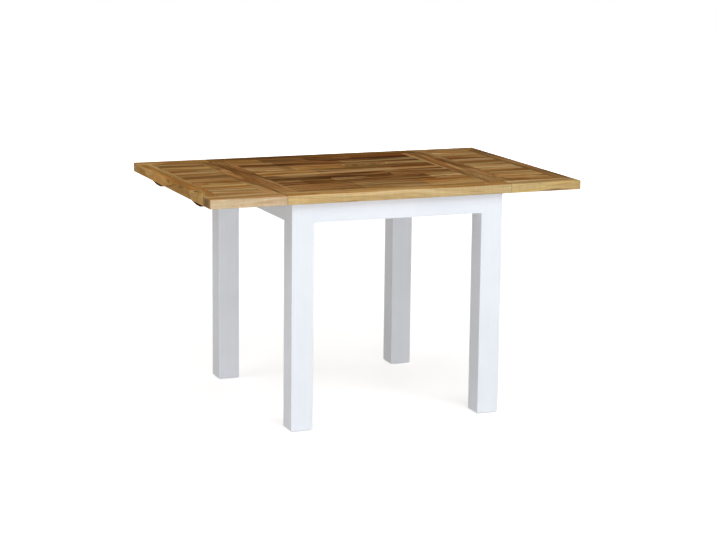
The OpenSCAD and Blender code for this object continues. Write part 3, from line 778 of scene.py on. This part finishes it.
# Zinc-plated steel: pale grey metal, slightly cloudy, with fine rolling marks
def zincMaterial():
    s = metalSettings
    material, add = newMaterial("zinc-plated steel")
    place = add("TexCoord").outputs["Object"]
    cloud = add("TexNoise", {"Vector": place, "Scale": 1 / s["cloud"], "Detail": 4.0,
                             "Distortion": s["cloudTwist"]})
    fine = add("TexNoise", {"Vector": place, "Scale": 1 / s["scratch"], "Detail": 2.0})
    colour = add("Mix", {0: cloud, 6: linear(s["bright"]), 7: linear(s["dull"])}, data_type="RGBA")
    sheen = add("MapRange", {"Value": cloud, **s["roughness"]})
    bump = add("Bump", {"Height": fine, "Strength": s["bump"], "Distance": s["relief"]})
    steel = add("BsdfPrincipled", {"Base Color": colour.outputs[2], "Metallic": 1.0, "Roughness": sheen,
                                   "Normal": bump})
    add("OutputMaterial", {"Surface": steel})
    return material


plasticSettings = {
    "colour": "#2b2c2d",
    "scuffed": "#4a4a48",
    "scuff": 11.11 * mm,
    "scuffRange": {"From Min": 0.5, "From Max": 0.7, "To Max": 0.5},
    "roughness": {"To Min": 0.42, "To Max": 0.65},
    "sparkGrain": 0.7 * mm,    # spark-eroded texture of the mould, drawn coarser than it is
    "bump": 0.3,
    "relief": 0.1 * mm,
}


# Black polypropylene, moulded: a dull soft black, a little scuffed
def glideMaterial():
    s = plasticSettings
    material, add = newMaterial("black polypropylene moulded")
    place = add("TexCoord").outputs["Object"]
    grain = add("TexNoise", {"Vector": place, "Scale": 1 / s["sparkGrain"], "Detail": 2.0})
    scuff = add("TexNoise", {"Vector": place, "Scale": 1 / s["scuff"], "Detail": 5.0})
    scuffPart = add("MapRange", {"Value": scuff, **s["scuffRange"]})
    colour = add("Mix", {0: scuffPart, 6: linear(s["colour"]), 7: linear(s["scuffed"])}, data_type="RGBA")
    bump = add("Bump", {"Height": grain, "Strength": s["bump"], "Distance": s["relief"]})
    sheen = add("MapRange", {"Value": scuff, **s["roughness"]})
    plastic = add("BsdfPrincipled", {"Base Color": colour.outputs[2], "Roughness": sheen, "Normal": bump,
                                     "IOR": 1.49})
    add("OutputMaterial", {"Surface": plastic})
    return material


zinc = zincMaterial()
dress(["foot_glides"], glideMaterial())

fastenerSettings = {
    "around": 24,               # points round a screw or bolt
    "head": 4 * mm,
    "headHeight": 2.5 * mm,
    "shank": 2 * mm,
    "point": 0.4 * mm,
    # outlines of the two heads, as shares of their radius and height
    "panHead": [(0.62, 0.0), (0.8, 0.07), (0.93, 0.25), (1.0, 0.55), (1.0, 1.0)],
    "sunkHead": [(0.94, 0.0), (1.0, 0.06)],
    "wingReach": 2.3 * mm,      # cross recess for a size 2 driver
    "wingWidth": 1.1 * mm,
    "recessDepth": 1.7 * mm,
    "recessFloor": 0.45,        # its floor as a share of its mouth
    "bolt": 4 * mm,
    "boltPoint": 2 * mm,
    "boltEnd": 3 * mm,          # chamfered end past the nut
    "pitch": 1.25 * mm,
    "pitchSteps": 4,            # rings of points for each turn of the thread
    "threadDepth": 0.7 * mm,
    "threadLength": 20 * mm,
    "nutWidth": 13 * mm,
    "nutBore": 4.05 * mm,
    "nutMouth": 4.5 * mm,
    "nutFace": 0.97,            # bright round face as a share of the width across flats
    "nutChamfer": 30,           # degrees
    "sharpAngle": 32,           # degrees, above which an edge is drawn sharp
    "stampedEdge": 0.3 * mm,    # rounding of washers and brackets
    "stampedAngle": 60,         # degrees, above which their edges are rounded
    "stampedSteps": 2,
    "endDepth": 0.1 * mm,       # how deep the end of a screw is searched for its widest points
    "weld": 0.001 * mm,
}


def circle(radius, height, around):
    turns = [2 * math.pi * i / around for i in range(around)]
    return [(radius * math.cos(turn), radius * math.sin(turn), height) for turn in turns]


# Faces between rings that have as many points each
def skin(bm, rings, closed=False):
    rows = [[bm.verts.new(point) for point in ring] for ring in rings]
    pairs = list(zip(rows, rows[1:]))
    if closed:
        pairs.append((rows[-1], rows[0]))
    for near, far in pairs:
        for i in range(len(near)):
            bm.faces.new((near[i - 1], near[i], far[i], far[i - 1]))
    return rows


# Wood screw along Z, its head's face at 0, with a cross recess
def makeScrew(bm, length, head):
    s = fastenerSettings
    rings = [circle(s["head"] * reach, s["headHeight"] * height, s["around"]) for reach, height in s[head]]
    rings.append(circle(s["shank"], s["headHeight"], s["around"]))
    rings.append(circle(s["shank"], length - s["head"], s["around"]))
    rings.append(circle(s["point"], length, s["around"]))
    rows = skin(bm, rings)
    bm.faces.new(rows[-1])
    half = s["wingWidth"] / 2
    quarter = [(s["wingReach"], -half), (s["wingReach"], half), (half, half)]
    cross = []
    for i in range(4):
        cross += quarter
        quarter = [(-y, x) for x, y in quarter]
    mouth = [(x, y, 0) for x, y in cross]
    floor = [(x * s["recessFloor"], y * s["recessFloor"], s["recessDepth"]) for x, y in cross]
    recess = skin(bm, [mouth, floor])
    bm.faces.new(recess[1])
    edges = [bm.edges.get((loop[i - 1], loop[i])) for loop in (recess[0], rows[0]) for i in range(len(loop))]
    bmesh.ops.triangle_fill(bm, edges=edges, use_beauty=True)


# Hanger bolt along Z, the end with the machine thread at 0
def makeBolt(bm, length):
    s = fastenerSettings
    steps = s["pitchSteps"]
    rings = []
    for row in range(round(steps * s["threadLength"] / s["pitch"]) + 1):
        height = row * s["pitch"] / steps
        ring = []
        for i in range(s["around"]):
            turn = 2 * math.pi * i / s["around"]
            phase = (row / steps + i / s["around"]) % 1
            radius = s["bolt"] - s["threadDepth"] * abs(2 * phase - 1)
            radius = min(radius, s["boltEnd"] + height)
            ring.append((radius * math.cos(turn), radius * math.sin(turn), height))
        rings.append(ring)
    rings.append(circle(s["bolt"], s["threadLength"] + s["pitch"], s["around"]))
    rings.append(circle(s["bolt"], length - 2 * s["boltPoint"], s["around"]))
    rings.append(circle(s["boltPoint"], length, s["around"]))
    rows = skin(bm, rings)
    bm.faces.new(rows[0])
    bm.faces.new(rows[-1])


# Hexagon nut along Z with its corners turned off at both faces
def makeNut(bm, length):
    s = fastenerSettings
    around = 2 * s["around"]
    half = s["nutWidth"] / 2
    face = half * s["nutFace"]
    low = []
    high = []
    for i in range(around):
        turn = 2 * math.pi * i / around
        radius = half / math.cos(turn % (math.pi / 3) - math.pi / 6)
        cut = (radius - face) * math.tan(math.radians(s["nutChamfer"]))
        low.append((radius * math.cos(turn), radius * math.sin(turn), cut))
        high.append((radius * math.cos(turn), radius * math.sin(turn), length - cut))
    lead = s["nutMouth"] - s["nutBore"]
    rings = [
        circle(s["nutBore"], lead, around),
        circle(s["nutMouth"], 0, around),
        circle(face, 0, around),
        low,
        high,
        circle(face, length, around),
        circle(s["nutMouth"], length, around),
        circle(s["nutBore"], length - lead, around),
    ]
    skin(bm, rings, closed=True)


# The loose solids of a CAD node, each as a list of its points
def looseSolids(node):
    bm = bmesh.new()
    bm.from_mesh(nodes[node].data)
    bmesh.ops.remove_doubles(bm, verts=bm.verts, dist=fastenerSettings["weld"])
    solids = []
    for first in bm.verts:
        if first.tag:
            continue
        first.tag = True
        found = [first]
        for v in found:
            for edge in v.link_edges:
                other = edge.other_vert(v)
                if not other.tag:
                    other.tag = True
                    found.append(other)
        solids.append([v.co.copy() for v in found])
    bm.free()
    return solids


# Where a solid starts, which way it runs and how long it is. A screw runs along its longest side from
# its head; what lies on a corner's diagonal runs away from the middle of the table
def runOf(points, diagonal):
    middle = sum(points, Vector()) / len(points)
    if diagonal:
        way = Vector((math.copysign(1, middle.x), math.copysign(1, middle.y), 0)).normalized()
    else:
        low = Vector([min(p[i] for p in points) for i in range(3)])
        high = Vector([max(p[i] for p in points) for i in range(3)])
        middle = (low + high) / 2
        size = high - low
        way = Vector([1 if size[i] == max(size) else 0 for i in range(3)])
        depth = fastenerSettings["endDepth"]
        ends = [[p for p in points if abs(p.dot(way) - end.dot(way)) < depth] for end in (low, high)]
        spread = [max(((p - middle) - way * (p - middle).dot(way)).length for p in end) for end in ends]
        if spread[1] > spread[0]:
            way = -way
    reach = [(p - middle).dot(way) for p in points]
    return middle + way * min(reach), way, max(reach) - min(reach)


# A steel piece that stands for a node: one part for each of its solids, the screws' recesses at random
def steelPiece(node, body, makePart, diagonal):
    chance = random.Random(node)
    whole = bmesh.new()
    for points in looseSolids(node):
        start, way, length = runOf(points, diagonal)
        upright = Vector((0, 0, 1)) if abs(way.z) < 0.5 else Vector((1, 0, 0))
        turned = Matrix((upright, way.cross(upright), way)).transposed().to_4x4()
        turn = 0 if diagonal else chance.uniform(0, math.pi / 2)
        part = bmesh.new()
        makePart(part, length)
        bmesh.ops.recalc_face_normals(part, faces=part.faces)
        bmesh.ops.transform(part, matrix=Matrix.Translation(start) @ turned @ Matrix.Rotation(turn, 4, "Z"),
                            verts=part.verts)
        mesh = bpy.data.meshes.new("part")
        part.to_mesh(mesh)
        part.free()
        whole.from_mesh(mesh)
        bpy.data.meshes.remove(mesh)
    steel = bpy.data.meshes.new(node + "_steel")
    whole.to_mesh(steel)
    whole.free()
    steel.shade_smooth()
    steel.set_sharp_from_angle(angle=math.radians(fastenerSettings["sharpAngle"]))
    steel.materials.append(zinc)
    piece = bpy.data.objects.new(node + "_steel", steel)
    scene.collection.objects.link(piece)
    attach(piece, body)
    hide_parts(node)


sunkScrew = functools.partial(makeScrew, head="sunkHead")
panScrew = functools.partial(makeScrew, head="panHead")
steelPiece("leaf_left_arm_screws", "leaf_left", sunkScrew, False)
steelPiece("leaf_right_arm_screws", "leaf_right", sunkScrew, False)
steelPiece("bracket_screws", "table", panScrew, False)
steelPiece("block_screws", "table", panScrew, False)
steelPiece("hanger_bolts", "table", makeBolt, True)
steelPiece("hanger_nuts", "table", makeNut, True)

stamped = ["hanger_washers", "top_brackets"]
dress(stamped, zinc)
for name in stamped:
    rounding = nodes[name].modifiers.new("stampedEdge", "BEVEL")
    rounding.width = fastenerSettings["stampedEdge"]
    rounding.segments = fastenerSettings["stampedSteps"]
    rounding.angle_limit = math.radians(fastenerSettings["stampedAngle"])
print("hardware done")
